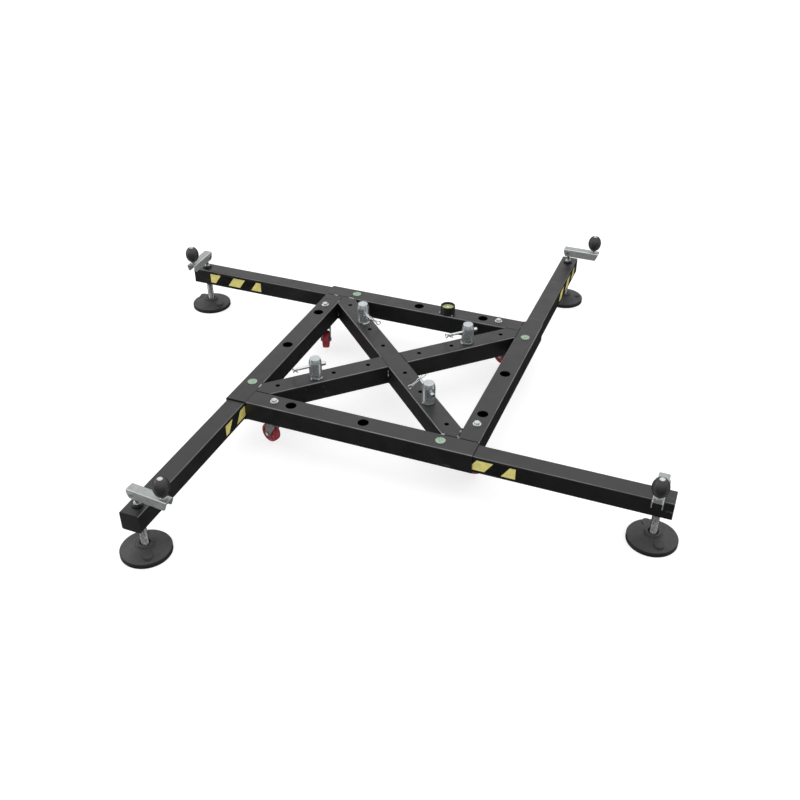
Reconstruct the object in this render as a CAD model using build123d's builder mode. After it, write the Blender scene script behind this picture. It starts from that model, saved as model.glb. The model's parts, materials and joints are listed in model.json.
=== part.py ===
"""Ground support base: pinwheel frame with truss posts, castors and four jacked outriggers.

Millimetres, +Z up, origin on the floor at the centre of the frame. Everything that repeats is
modelled once for the front arm, whose outrigger slides out along +X, and turned a quarter turn
for each of the others.
"""

import os
from math import sqrt

from build123d import *

os.makedirs("parts", exist_ok=True)

# Driving dimensions ---------------------------------------------------------------------------
FRAME_SIDE = 940.0          # outside of the square frame
TUBE = 80.0                 # frame tube, square, outside
TUBE_WALL = 4.0
TUBE_RADIUS = 7.0
TUBE_TOP = 202.0            # top of the frame above the floor, jacks as set
LEG = 70.0                  # outrigger tube, square, outside
LEG_WALL = 4.0
LEG_RADIUS = 6.0
LEG_REACH = 666.0           # outrigger showing outside its sleeve, pulled right out
LEG_GRIP = 232.0            # outrigger left inside its sleeve, pulled right out
JACK_FROM_TIP = 50.0        # jack axis from the end of the outrigger
WELD_GAP = 0.02             # butted tube faces stand this far apart; the weld bead closes it

POST_SPACING = 450.0        # truss posts, centre to centre
POST_RADIUS = 24.0
POST_HEIGHT = 83.0
POST_TIP_RADIUS = 19.5
POST_TIP_HEIGHT = 17.0
POST_PIN_HEIGHT = 51.0      # cross hole above the frame's top
PIN_RADIUS = 5.5
PIN_HEAD_RADIUS = 8.0
PIN_HEAD_REACH = 40.0       # end of the pin's head from the post's axis
PIN_TAIL_REACH = 84.0       # end of the pin's tail from the post's axis
CLIP_PLACE = 75.0           # cross hole for the spring clip
CLIP_WIRE_RADIUS = 1.9
RUNNING_FIT = 0.06          # radial clearance of a pin, shaft or thread in its hole
BOLT_CLEARANCE = 0.3        # radial clearance of a bolt or clamp screw in its hole

SIDE_HOLE_RADIUS = 20.0     # two large holes in the top wall of each sleeve
SIDE_HOLE_PLACES = (-226.0, 56.0)
DIAGONAL_HOLE_RADIUS = 8.5
DIAGONAL_HOLE_PLACES = (76.0, 175.0, 331.0)     # half the spacing of each square of holes
CASTOR_PLACE = -293.0       # castor axis along the sleeve, from the middle of the side
VIAL_PLACE = 343.0          # small round level along the sleeve
VIAL_HOLE_RADIUS = 14.0
VIAL_RADIUS = 17.5
CLAMP_PLACES = (375.0, 440.0)                   # clamp screws under the sleeve
CLAMP_RADIUS = 6.0
HEX_HALF = 9.5              # half the width across flats of the bolt heads and nuts
LEVEL_PLACE = (75.0, 421.0)                     # large round level on the back sleeve
LEVEL_RADIUS = 30.0
LEVEL_HEIGHT = 36.0
LEVEL_WALL = 3.5
LEVEL_FLOOR = 18.0          # floor of the housing under the lens
LEVEL_LENS_HEIGHT = 9.0

CASTOR_HEIGHT = 106.0
WHEEL_RADIUS = 37.5
WHEEL_WIDTH = 28.0
CASTOR_TRAIL = 32.0
CASTOR_BOLT_RADIUS = 6.0
CASTOR_WASHER_RADIUS = 15.0
CASTOR_AXLE_RADIUS = 6.0
AXLE_HEAD_RADIUS = 8.0
FORK_WALL = 3.0

FOOT_RADIUS = 85.0
FOOT_RIM = 17.0
FOOT_HUB_RADIUS = 28.0
FOOT_CONE_TOP = 35.0
FOOT_HUB_TOP = 41.0
FOOT_BOSS_RADIUS = 16.0
FOOT_BOSS_TOP = 31.0
FOOT_BOSS_PLACE = 57.0
FOOT_HOLLOW_INNER = 33.0    # ring-shaped hollow under the cone
FOOT_HOLLOW_OUTER = 74.0
FOOT_HOLLOW_HEIGHT = 22.0   # at its inner edge
FOOT_HOLLOW_EDGE = 7.0      # at its outer edge
BALL_HEIGHT = 22.0          # centre of the swivel ball above the floor
BALL_RADIUS = 16.0
SPINDLE_RADIUS = 13.0
NECK_RADIUS = 6.5
JOURNAL_RADIUS = 8.0
NECK_HEAD_RADIUS = 9.0      # cross head at the top of the neck, for the crank pin
NECK_HEAD_WIDTH = 14.0
BUSH_RADIUS = 19.0
BUSH_FLANGE = 6.0           # bush above the outrigger
END_PLATE = 4.0

LEVER_TOP = 266.0           # top of the crank lever above the floor
LEVER_WIDTH = 36.0
LEVER_DEPTH = 34.0
LEVER_WALL = 3.0
LEVER_TAIL = 20.0           # lever behind the spindle
LEVER_REACH = 135.0         # lever ahead of the spindle
CRANK_PIN_DROP = 15.0       # crank pin below the lever's top
CRANK_PIN_RADIUS = 4.0
CRANK_HEX_HALF = 6.5
KNOB_PLACE = 112.0
KNOB_RADIUS = 28.0
KNOB_HEIGHT = 66.0
KNOB_NECK = 10.0            # gap between the lever and the knob
STUD_RADIUS = 5.0
CAP_RADIUS = 9.0            # riveted end of the stud, let into the top of the knob
CAP_HEIGHT = 2.5

# Worked-out places ----------------------------------------------------------------------------
half = FRAME_SIDE / 2
arm_line = -(half - TUBE / 2)                   # y of the front arm's centreline
axis_z = TUBE_TOP - TUBE / 2
tube_bottom = TUBE_TOP - TUBE
inner_half = half - TUBE
leg_end = half + LEG_REACH
jack_x = leg_end - JACK_FROM_TIP
leg_start = half - LEG_GRIP
leg_top = axis_z + LEG / 2
leg_bottom = axis_z - LEG / 2
post_half = POST_SPACING / 2
pin_z = TUBE_TOP + POST_PIN_HEIGHT
plate_bottom = tube_bottom - 10.0               # bearing plate of a castor
crown_top = plate_bottom - 1.5                  # flat top of a castor's fork
crown_bottom = crown_top - 6.0
wheel_z = tube_bottom - CASTOR_HEIGHT + WHEEL_RADIUS
fork_inside = WHEEL_WIDTH / 2 + 2.5             # half the gap between the fork's cheeks
fork_outside = fork_inside + FORK_WALL
crank_pin_z = LEVER_TOP - CRANK_PIN_DROP
knob_bottom = LEVER_TOP + KNOB_NECK
knob_top = knob_bottom + KNOB_HEIGHT

ARMS = {"front": 0.0, "right": 90.0, "back": 180.0, "left": 270.0}
# turns about each arm's own axis, counted from the arm's outward direction
LEVER_TURN = {"front": -90.0, "right": -90.0, "back": 92.0, "left": 85.0}
FOOT_TURN = {"front": 300.0, "right": 290.0, "back": 160.0, "left": 40.0}
CASTOR_TURN = {"front": 161.0, "right": 200.0, "back": 160.0, "left": 21.0}
# the post standing on each diagonal arm, the way its pin's tail points, and the clip's droop
POST_CORNERS = {"front": (1, -1), "right": (1, 1), "back": (-1, 1), "left": (-1, -1)}
PIN_TURN = {"front": 135.0, "right": 225.0, "back": -45.0, "left": 225.0}
CLIP_TURN = {"front": 33.0, "right": 150.0, "back": 41.0, "left": 150.0}


def save(shape, name):
    """Label a finished piece and write it as its own STEP file."""
    shape.label = name
    export_step(shape, f"parts/{name}.step")


def for_each_arm(shape, name):
    """Write one copy of a front-arm piece for every arm of the frame."""
    for arm, angle in ARMS.items():
        save(shape.rotate(Axis.Z, angle), f"{name}_{arm}")


def group(shape, name):
    """Write a front-arm piece and its three turned copies as one group of separate solids."""
    copies = [shape.rotate(Axis.Z, angle) for angle in ARMS.values()]
    save(Compound([solid for copy in copies for solid in copy.solids()]), name)


def at_jack(shape, arm, turn):
    """Turn a piece modelled on the Z axis, and stand it on an arm's jack axis."""
    placed = shape.rotate(Axis.Z, turn).moved(Location((jack_x, arm_line, 0)))
    return placed.rotate(Axis.Z, ARMS[arm])


def at_post(shape, arm):
    """Turn a piece modelled on the Z axis to its pin's direction, and stand it on a post's axis."""
    corner_x, corner_y = POST_CORNERS[arm]
    placed = shape.rotate(Axis.Z, PIN_TURN[arm])
    return placed.moved(Location((corner_x * post_half, corner_y * post_half, 0)))


# Frame: four sleeves --------------------------------------------------------------------------
sleeve_length = FRAME_SIDE - TUBE
with BuildPart() as sleeve:
    with BuildSketch(Plane.YZ.offset(-inner_half + WELD_GAP)):
        with Locations((arm_line, axis_z)):
            RectangleRounded(TUBE, TUBE, TUBE_RADIUS)
            RectangleRounded(TUBE - 2 * TUBE_WALL, TUBE - 2 * TUBE_WALL, TUBE_RADIUS - TUBE_WALL,
                             mode=Mode.SUBTRACT)
    extrude(amount=sleeve_length - WELD_GAP)
    with Locations(*[(x, arm_line, TUBE_TOP - TUBE_WALL / 2) for x in SIDE_HOLE_PLACES]):
        Cylinder(SIDE_HOLE_RADIUS, 2 * TUBE_WALL, mode=Mode.SUBTRACT)
    with Locations((VIAL_PLACE, arm_line, TUBE_TOP - TUBE_WALL / 2)):
        Cylinder(VIAL_HOLE_RADIUS, 2 * TUBE_WALL, mode=Mode.SUBTRACT)
    with Locations((CASTOR_PLACE, arm_line, axis_z)):
        Cylinder(CASTOR_BOLT_RADIUS + BOLT_CLEARANCE, 2 * TUBE, mode=Mode.SUBTRACT)
    with Locations(*[(x, arm_line, tube_bottom + TUBE_WALL / 2) for x in CLAMP_PLACES]):
        Cylinder(CLAMP_RADIUS + BOLT_CLEARANCE, 2 * TUBE_WALL, mode=Mode.SUBTRACT)
for_each_arm(sleeve.part, "sleeve")

# Frame: crossed diagonals, one whole and two halves butted on its sides ------------------------
corner_reach = inner_half * sqrt(2)            # frame centre to an inner corner
with BuildPart() as diagonal_long:
    with BuildSketch(Plane.XZ.offset(-corner_reach)):
        with Locations((0, axis_z)):
            RectangleRounded(TUBE, TUBE, TUBE_RADIUS)
            RectangleRounded(TUBE - 2 * TUBE_WALL, TUBE - 2 * TUBE_WALL, TUBE_RADIUS - TUBE_WALL,
                             mode=Mode.SUBTRACT)
    extrude(amount=2 * corner_reach)
    with BuildSketch(Plane.XY.offset(tube_bottom)):
        Rectangle(2 * inner_half - 2 * WELD_GAP, 2 * inner_half - 2 * WELD_GAP, rotation=45)
    extrude(amount=TUBE, mode=Mode.INTERSECT)
    with Locations(*[(0, side * place * sqrt(2), axis_z)
                     for place in DIAGONAL_HOLE_PLACES for side in (-1, 1)]):
        Cylinder(DIAGONAL_HOLE_RADIUS, 2 * TUBE, mode=Mode.SUBTRACT)
with BuildPart() as diagonal_half:
    add(diagonal_long.part)
    split(bisect_by=Plane.XZ.offset(TUBE / 2 + WELD_GAP), keep=Keep.TOP)
save(diagonal_long.part.rotate(Axis.Z, 45), "diagonal_long")
save(diagonal_half.part.rotate(Axis.Z, -45), "diagonal_half_left")
save(diagonal_half.part.rotate(Axis.Z, 135), "diagonal_half_right")

# Truss posts, with a cross hole for the pin ----------------------------------------------------
with BuildPart() as post:
    with BuildSketch(Plane.XZ):
        with BuildLine():
            Polyline(
                (0, TUBE_TOP + WELD_GAP),
                (POST_RADIUS, TUBE_TOP + WELD_GAP),
                (POST_RADIUS, TUBE_TOP + POST_HEIGHT - POST_TIP_HEIGHT),
                (POST_TIP_RADIUS, TUBE_TOP + POST_HEIGHT),
                (0, TUBE_TOP + POST_HEIGHT),
                close=True,
            )
        make_face()
    revolve(axis=Axis.Z)
    with Locations((0, 0, pin_z)):
        Cylinder(PIN_RADIUS + RUNNING_FIT, 4 * POST_RADIUS, rotation=(0, 90, 0), mode=Mode.SUBTRACT)
post_solids = []
for arm in ARMS:
    post_solids += at_post(post.part, arm).solids()
save(Compound(post_solids), "truss_posts")

# Pin with a round head, and the spring clip through its tail -----------------------------------
pin_bevel = 2.0
head_gap = 1.0              # between the pin's head and its post
with BuildPart() as post_pin:
    with BuildSketch(Plane.XZ):
        with BuildLine():
            Polyline(
                (-PIN_HEAD_REACH, pin_z),
                (-PIN_HEAD_REACH, pin_z + PIN_HEAD_RADIUS - pin_bevel),
                (-PIN_HEAD_REACH + pin_bevel, pin_z + PIN_HEAD_RADIUS),
                (-POST_RADIUS - head_gap, pin_z + PIN_HEAD_RADIUS),
                (-POST_RADIUS - head_gap, pin_z + PIN_RADIUS),
                (PIN_TAIL_REACH - pin_bevel, pin_z + PIN_RADIUS),
                (PIN_TAIL_REACH, pin_z + PIN_RADIUS - pin_bevel),
                (PIN_TAIL_REACH, pin_z),
                close=True,
            )
        make_face()
    revolve(axis=Axis((0, 0, pin_z), (1, 0, 0)))
with BuildPart() as spring_clip:
    # the straight leg runs through the pin, the eye is at its end, and the other leg lies over the pin
    with BuildLine(Plane.YZ) as clip_wire:
        FilletPolyline(
            (-34, 0), (38, 0), (43, -4), (50, -4), (55, 3.6), (50, 11), (43, 11),
            (36, 6), (16, 4.5), (6, 8.2), (-6, 8.2), (-16, 10.5),
            radius=2.4,
        )
    with BuildSketch(Plane(origin=clip_wire.line @ 0, z_dir=clip_wire.line % 0)):
        Circle(CLIP_WIRE_RADIUS)
    sweep()
for arm in ARMS:
    droop = CLIP_TURN[arm]
    clip = spring_clip.part.rotate(Axis.X, -droop).moved(Location((CLIP_PLACE, 0, pin_z)))
    with BuildPart() as drilled_pin:
        add(post_pin.part)
        with Locations(Location((CLIP_PLACE, 0, pin_z), (90 - droop, 0, 0))):
            Cylinder(CLIP_WIRE_RADIUS + RUNNING_FIT, 4 * PIN_RADIUS, mode=Mode.SUBTRACT)
    save(at_post(drilled_pin.part, arm), f"post_pin_{arm}")
    save(at_post(clip, arm), f"spring_clip_{arm}")

# Castors: bolt right through the sleeve, bearing plate, fork and wheel -------------------------
castor_hole_radius = CASTOR_BOLT_RADIUS + BOLT_CLEARANCE
castor_spot = (CASTOR_PLACE, arm_line)
washer_thickness = 2.5
bolt_head_height = 7.5
castor_nut_height = 9.0
castor_nut_bottom = crown_bottom - 0.5 - castor_nut_height
castor_bolt_end = castor_nut_bottom - 2.5
with BuildPart() as castor_bolt:
    with Locations((*castor_spot, TUBE_TOP)):
        Cylinder(CASTOR_WASHER_RADIUS, washer_thickness, align=(Align.CENTER, Align.CENTER, Align.MIN))
    with BuildSketch(Plane.XY.offset(TUBE_TOP + washer_thickness)):
        with Locations(castor_spot):
            RegularPolygon(HEX_HALF, 6, major_radius=False)
    extrude(amount=bolt_head_height)
    with BuildSketch(Plane.XY.offset(castor_bolt_end)):
        with Locations(castor_spot):
            Circle(CASTOR_BOLT_RADIUS)
    extrude(amount=TUBE_TOP + washer_thickness - castor_bolt_end)
    with BuildSketch(Plane.XY.offset(castor_nut_bottom)):
        with Locations(castor_spot):
            RegularPolygon(HEX_HALF, 6, major_radius=False)
    extrude(amount=castor_nut_height)
group(castor_bolt.part, "castor_bolts")

plate_radius = 29.0
plate_thickness = 4.0
race_top_radius = 26.0
race_bottom_radius = 20.0
with BuildPart() as bearing_plate:
    with Locations((*castor_spot, tube_bottom)):
        Cylinder(plate_radius, plate_thickness, align=(Align.CENTER, Align.CENTER, Align.MAX))
    with Locations((*castor_spot, tube_bottom - plate_thickness + 1)):
        Cone(race_bottom_radius, race_top_radius, tube_bottom - plate_thickness + 1 - plate_bottom,
             align=(Align.CENTER, Align.CENTER, Align.MAX))
    with Locations((*castor_spot, tube_bottom)):
        Cylinder(castor_hole_radius, TUBE, mode=Mode.SUBTRACT)
group(bearing_plate.part, "castor_bearing_plates")

fork_front = CASTOR_TRAIL + 2.0                 # front edge of the crown
fork_back = -8.0                                # back edge of the cheeks
cheek_drop = 9.0                                # cheeks below the axle
with BuildPart() as castor_fork:
    with BuildSketch(Plane.XY.offset(crown_bottom)):
        Circle(fork_outside)
        Rectangle(fork_front, 2 * fork_outside, align=(Align.MIN, Align.CENTER))
    extrude(amount=crown_top - crown_bottom)
    with BuildSketch(Plane.XZ.offset(-fork_outside)):
        with BuildLine():
            Polyline(
                (fork_back, crown_top - 1), (fork_front, crown_top - 1),
                (CASTOR_TRAIL + 11, wheel_z + 2), (CASTOR_TRAIL + 6, wheel_z - cheek_drop),
                (CASTOR_TRAIL - 6, wheel_z - cheek_drop), (fork_back, crown_bottom - 8),
                close=True,
            )
        make_face()
    extrude(amount=2 * fork_outside)
    with Locations((0, 0, crown_bottom)):
        Box(4 * WHEEL_RADIUS, 2 * fork_inside, 2 * WHEEL_RADIUS,
            align=(Align.CENTER, Align.CENTER, Align.MAX), mode=Mode.SUBTRACT)
    Cylinder(castor_hole_radius, 2 * crown_top + TUBE, mode=Mode.SUBTRACT)
    with Locations((CASTOR_TRAIL, 0, wheel_z)):
        Cylinder(AXLE_HEAD_RADIUS, 2 * (fork_outside + 3), rotation=(90, 0, 0))
        Cylinder(AXLE_HEAD_RADIUS, 2 * fork_inside, rotation=(90, 0, 0), mode=Mode.SUBTRACT)
        Cylinder(CASTOR_AXLE_RADIUS, 2 * fork_outside, rotation=(90, 0, 0))

tread_round = 5.0
web_recess = 4.0            # sides of the wheel are let in between the hub and the tread
hub_radius = 12.0
tread_inside = 28.0
with BuildPart() as castor_wheel:
    with BuildSketch(Plane.YZ) as wheel_section:
        with Locations((0, WHEEL_RADIUS / 2)):
            Rectangle(WHEEL_WIDTH, WHEEL_RADIUS)
        fillet(wheel_section.vertices().group_by(Axis.Y)[-1], tread_round)
        with Locations((WHEEL_WIDTH / 2, (hub_radius + tread_inside) / 2),
                       (-WHEEL_WIDTH / 2, (hub_radius + tread_inside) / 2)):
            Rectangle(2 * web_recess, tread_inside - hub_radius, mode=Mode.SUBTRACT)
        Rectangle(WHEEL_WIDTH, 2 * (CASTOR_AXLE_RADIUS + RUNNING_FIT), mode=Mode.SUBTRACT)
    revolve(axis=Axis.Y)
castor_axis = Location((CASTOR_PLACE, arm_line, 0))
for arm, angle in ARMS.items():
    fork = castor_fork.part.rotate(Axis.Z, CASTOR_TURN[arm]).moved(castor_axis)
    wheel = castor_wheel.part.moved(Location((CASTOR_TRAIL, 0, wheel_z)))
    wheel = wheel.rotate(Axis.Z, CASTOR_TURN[arm]).moved(castor_axis)
    save(fork.rotate(Axis.Z, angle), f"castor_fork_{arm}")
    save(wheel.rotate(Axis.Z, angle), f"castor_wheel_{arm}")

# Clamp screws with their welded nuts, under the mouth of each sleeve ---------------------------
clamp_nut_height = 10.0
clamp_head_top = tube_bottom - clamp_nut_height - 1.5
clamp_tip_gap = 0.4         # between the screw's tip and the outrigger
with BuildPart() as clamp_screw:
    with BuildSketch(Plane.XY.offset(clamp_head_top)):
        RegularPolygon(HEX_HALF, 6, major_radius=False)
    extrude(amount=-bolt_head_height)
    with BuildSketch(Plane.XY.offset(clamp_head_top)):
        Circle(CLAMP_RADIUS)
    extrude(amount=leg_bottom - clamp_tip_gap - clamp_head_top)
with BuildPart() as clamp_nut:
    with BuildSketch(Plane.XY.offset(tube_bottom - WELD_GAP)):
        RegularPolygon(HEX_HALF + 1, 6, major_radius=False)
        Circle(CLAMP_RADIUS + RUNNING_FIT, mode=Mode.SUBTRACT)
    extrude(amount=-clamp_nut_height)
clamp_solids = []
for angle in ARMS.values():
    for place in CLAMP_PLACES:
        for piece in (clamp_screw, clamp_nut):
            placed = piece.part.moved(Location((place, arm_line, 0)))
            clamp_solids += placed.rotate(Axis.Z, angle).solids()
save(Compound(clamp_solids), "outrigger_clamp_screws")

# Small round levels let into the top of each sleeve --------------------------------------------
vial_floor = TUBE_TOP + 1.0
vial_rim = TUBE_TOP + 2.5
vial_bottom = TUBE_TOP - TUBE_WALL + 0.3
vial_cup_radius = VIAL_RADIUS - 1.6
lens_radius = vial_cup_radius - 0.1
lens_gap = 0.05
lens_top = TUBE_TOP + 4.5
lens_edge = TUBE_TOP + 3.0
with BuildPart() as vial_body:
    with BuildSketch(Plane.XZ):
        with BuildLine():
            Polyline(
                (0, vial_bottom), (VIAL_HOLE_RADIUS - BOLT_CLEARANCE, vial_bottom),
                (VIAL_HOLE_RADIUS - BOLT_CLEARANCE, TUBE_TOP + WELD_GAP),
                (VIAL_RADIUS, TUBE_TOP + WELD_GAP), (VIAL_RADIUS, vial_rim),
                (vial_cup_radius, vial_rim + 1), (vial_cup_radius, vial_floor), (0, vial_floor),
                close=True,
            )
        make_face()
    revolve(axis=Axis.Z)
with BuildPart() as vial_lens:
    with BuildSketch(Plane.XZ):
        with BuildLine():
            Polyline((lens_radius, lens_edge), (lens_radius, vial_floor + lens_gap),
                     (0, vial_floor + lens_gap), (0, lens_top))
            ThreePointArc((0, lens_top), (lens_radius / 2, lens_top - 0.35), (lens_radius, lens_edge))
        make_face()
    revolve(axis=Axis.Z)
vial_spot = Location((VIAL_PLACE, arm_line, 0))
group(vial_body.part.moved(vial_spot), "vial_bodies")
group(vial_lens.part.moved(vial_spot), "vial_lenses")

# Large round level standing on the back sleeve -------------------------------------------------
with BuildPart() as level_housing:
    with BuildSketch(Plane.XY.offset(TUBE_TOP + WELD_GAP)):
        with Locations(LEVEL_PLACE):
            Circle(LEVEL_RADIUS)
    extrude(amount=LEVEL_HEIGHT)
    chamfer(level_housing.edges().group_by(Axis.Z)[-1], 1)
    with BuildSketch(Plane.XY.offset(TUBE_TOP + LEVEL_FLOOR)):
        with Locations(LEVEL_PLACE):
            Circle(LEVEL_RADIUS - LEVEL_WALL)
    extrude(amount=LEVEL_HEIGHT, mode=Mode.SUBTRACT)
save(level_housing.part, "level_housing")
with BuildPart() as level_lens:
    with BuildSketch(Plane.XY.offset(TUBE_TOP + LEVEL_FLOOR + WELD_GAP)):
        with Locations(LEVEL_PLACE):
            Circle(LEVEL_RADIUS - LEVEL_WALL - lens_gap)
    extrude(amount=LEVEL_LENS_HEIGHT)
    fillet(level_lens.edges().group_by(Axis.Z)[-1], 2)
save(level_lens.part, "level_lens")

# Outriggers: tube with a welded end plate and a threaded bush for the jack ---------------------
plate_side = LEG - 1.5 * LEG_WALL               # set into the tube's open end
with BuildPart() as outrigger:
    with BuildSketch(Plane.YZ.offset(leg_start)):
        with Locations((arm_line, axis_z)):
            RectangleRounded(LEG, LEG, LEG_RADIUS)
            RectangleRounded(LEG - 2 * LEG_WALL, LEG - 2 * LEG_WALL, LEG_RADIUS - LEG_WALL,
                             mode=Mode.SUBTRACT)
    extrude(amount=leg_end - leg_start)
    with BuildSketch(Plane.YZ.offset(leg_end - END_PLATE)):
        with Locations((arm_line, axis_z)):
            Rectangle(plate_side, plate_side)
    extrude(amount=END_PLATE)
    with BuildSketch(Plane.XY.offset(leg_bottom)):
        with Locations((jack_x, arm_line)):
            Circle(BUSH_RADIUS)
    extrude(amount=LEG + BUSH_FLANGE)
    with Locations((jack_x, arm_line, axis_z)):
        Cylinder(SPINDLE_RADIUS + RUNNING_FIT, 2 * LEG, mode=Mode.SUBTRACT)
for_each_arm(outrigger.part, "outrigger")

# Jack feet: shallow cone with a hub, two bosses and a socket for the swivel ball ---------------
socket_radius = BALL_RADIUS + 0.3
socket_mouth = 7.0          # mouth of the socket above the ball's centre
socket_mouth_radius = sqrt(socket_radius ** 2 - socket_mouth ** 2)
socket_flare_radius = 17.5                      # at the top of the hub, so that the jack can tilt
foot_bevel = 2.0
hub_bevel = 1.0
with BuildPart() as foot_plate:
    with BuildSketch(Plane.XZ):
        with BuildLine():
            Polyline(
                (0, 0), (FOOT_RADIUS, 0), (FOOT_RADIUS, FOOT_RIM - foot_bevel),
                (FOOT_RADIUS - foot_bevel, FOOT_RIM), (FOOT_HUB_RADIUS, FOOT_CONE_TOP),
                (FOOT_HUB_RADIUS, FOOT_HUB_TOP - hub_bevel),
                (FOOT_HUB_RADIUS - hub_bevel, FOOT_HUB_TOP),
                (0, FOOT_HUB_TOP),
                close=True,
            )
        make_face()
        with BuildLine():
            Polyline((FOOT_HOLLOW_INNER, 0), (FOOT_HOLLOW_OUTER, 0),
                     (FOOT_HOLLOW_OUTER, FOOT_HOLLOW_EDGE), (FOOT_HOLLOW_INNER, FOOT_HOLLOW_HEIGHT),
                     close=True)
        make_face(mode=Mode.SUBTRACT)
    revolve(axis=Axis.Z)
    with BuildSketch():
        with Locations((FOOT_BOSS_PLACE, 0), (-FOOT_BOSS_PLACE, 0)):
            Circle(FOOT_BOSS_RADIUS)
    extrude(amount=FOOT_BOSS_TOP)
    with Locations((0, 0, BALL_HEIGHT)):
        Sphere(socket_radius, mode=Mode.SUBTRACT)
    with Locations((0, 0, BALL_HEIGHT + socket_mouth)):
        Cone(socket_mouth_radius, socket_flare_radius, FOOT_HUB_TOP - BALL_HEIGHT - socket_mouth,
             align=(Align.CENTER, Align.CENTER, Align.MIN), mode=Mode.SUBTRACT)

ball_top = BALL_HEIGHT + 11.0
ball_base = BALL_HEIGHT - 10.5
with BuildPart() as swivel_ball:
    with Locations((0, 0, BALL_HEIGHT)):
        Sphere(BALL_RADIUS)
    split(bisect_by=Plane.XY.offset(ball_top), keep=Keep.BOTTOM)
    split(bisect_by=Plane.XY.offset(ball_base), keep=Keep.TOP)
    Cylinder(JOURNAL_RADIUS + RUNNING_FIT, 4 * BALL_HEIGHT, mode=Mode.SUBTRACT)

# Spindle: journal in the ball with a keeper under it, screw, neck and head for the crank pin ----
shoulder_z = ball_top + 0.1
screw_top = TUBE_TOP + 8.0
keeper_radius = 9.6
keeper_top = ball_base - 0.2
keeper_bottom = keeper_top - 1.5
with BuildPart() as spindle:
    with BuildSketch(Plane.XZ):
        with BuildLine():
            Polyline(
                (0, keeper_bottom), (keeper_radius, keeper_bottom),
                (keeper_radius, keeper_top), (JOURNAL_RADIUS, keeper_top),
                (JOURNAL_RADIUS, shoulder_z), (SPINDLE_RADIUS - 1.5, shoulder_z),
                (SPINDLE_RADIUS, shoulder_z + 1.5), (SPINDLE_RADIUS, screw_top - 2),
                (SPINDLE_RADIUS - 2, screw_top), (NECK_RADIUS, screw_top),
                (NECK_RADIUS, crank_pin_z), (0, crank_pin_z),
                close=True,
            )
        make_face()
    revolve(axis=Axis.Z)
    with Locations((0, 0, crank_pin_z)):
        Cylinder(NECK_HEAD_RADIUS, NECK_HEAD_WIDTH, rotation=(90, 0, 0))
        Cylinder(CRANK_PIN_RADIUS + RUNNING_FIT, 2 * NECK_HEAD_WIDTH, rotation=(90, 0, 0),
                 mode=Mode.SUBTRACT)
crank_hex_gap = 0.4         # between the crank pin's head or nut and the lever
crank_hex_height = 4.5
with BuildPart() as crank_pin:
    with Locations((0, 0, crank_pin_z)):
        Cylinder(CRANK_PIN_RADIUS, LEVER_WIDTH + 2 * crank_hex_height, rotation=(90, 0, 0))
    for side in (-1, 1):
        with BuildSketch(Plane.XZ.offset(side * (LEVER_WIDTH / 2 + crank_hex_gap))):
            with Locations((0, crank_pin_z)):
                RegularPolygon(CRANK_HEX_HALF, 6, major_radius=False)
        extrude(amount=side * crank_hex_height)

# Crank lever: channel, web up, with the knob's stud riveted to it ------------------------------
lever_bottom = LEVER_TOP - LEVER_DEPTH
collar_radius = STUD_RADIUS + 3
collar_top = knob_bottom - 0.3
rivet_height = 3.0
with BuildPart() as crank_lever:
    with BuildSketch(Plane.XZ.offset(-LEVER_WIDTH / 2)) as lever_side:
        with BuildLine():
            Polyline(
                (-LEVER_TAIL, LEVER_TOP), (LEVER_REACH, LEVER_TOP),
                (LEVER_REACH, LEVER_TOP - 8), (LEVER_REACH - 10, lever_bottom),
                (-LEVER_TAIL + 7, lever_bottom), (-LEVER_TAIL, LEVER_TOP - 14),
                close=True,
            )
        make_face()
        fillet(lever_side.vertices().group_by(Axis.Y)[0], 5)
    extrude(amount=LEVER_WIDTH)
    fillet(crank_lever.edges().filter_by(Axis.X).group_by(Axis.Z)[-1], 3)
    with Locations(((LEVER_REACH - LEVER_TAIL) / 2, 0, LEVER_TOP - LEVER_WALL)):
        Box(2 * (LEVER_REACH + LEVER_TAIL), LEVER_WIDTH - 2 * LEVER_WALL, 2 * LEVER_DEPTH,
            align=(Align.CENTER, Align.CENTER, Align.MAX), mode=Mode.SUBTRACT)
    with Locations((0, 0, crank_pin_z)):
        Cylinder(CRANK_PIN_RADIUS + RUNNING_FIT, 2 * LEVER_WIDTH, rotation=(90, 0, 0),
                 mode=Mode.SUBTRACT)
    with BuildSketch(Plane.XY.offset(LEVER_TOP - LEVER_WALL - rivet_height)):
        with Locations((KNOB_PLACE, 0)):
            Circle(collar_radius)
    extrude(amount=collar_top - (LEVER_TOP - LEVER_WALL - rivet_height))
    with BuildSketch(Plane.XY.offset(LEVER_TOP)):
        with Locations((KNOB_PLACE, 0)):
            Circle(STUD_RADIUS)
    extrude(amount=knob_top - LEVER_TOP)
    with Locations((KNOB_PLACE, 0, knob_top + 1)):
        Cylinder(CAP_RADIUS, CAP_HEIGHT, align=(Align.CENTER, Align.CENTER, Align.MAX))

knob_middle = (knob_bottom + knob_top) / 2
cap_recess = 2.0
with BuildPart() as knob:
    with BuildSketch(Plane.XZ):
        with Locations((0, knob_middle)):
            Ellipse(KNOB_RADIUS, KNOB_HEIGHT / 2 + 3)       # cut flat at both ends
        with Locations((STUD_RADIUS + RUNNING_FIT, knob_middle)):
            Rectangle(KNOB_RADIUS, KNOB_HEIGHT, align=(Align.MIN, Align.CENTER),
                      mode=Mode.INTERSECT)
        with Locations((0, knob_top)):
            Rectangle(2 * (CAP_RADIUS + BOLT_CLEARANCE), 2 * cap_recess, mode=Mode.SUBTRACT)
    revolve(axis=Axis.Z)

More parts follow.
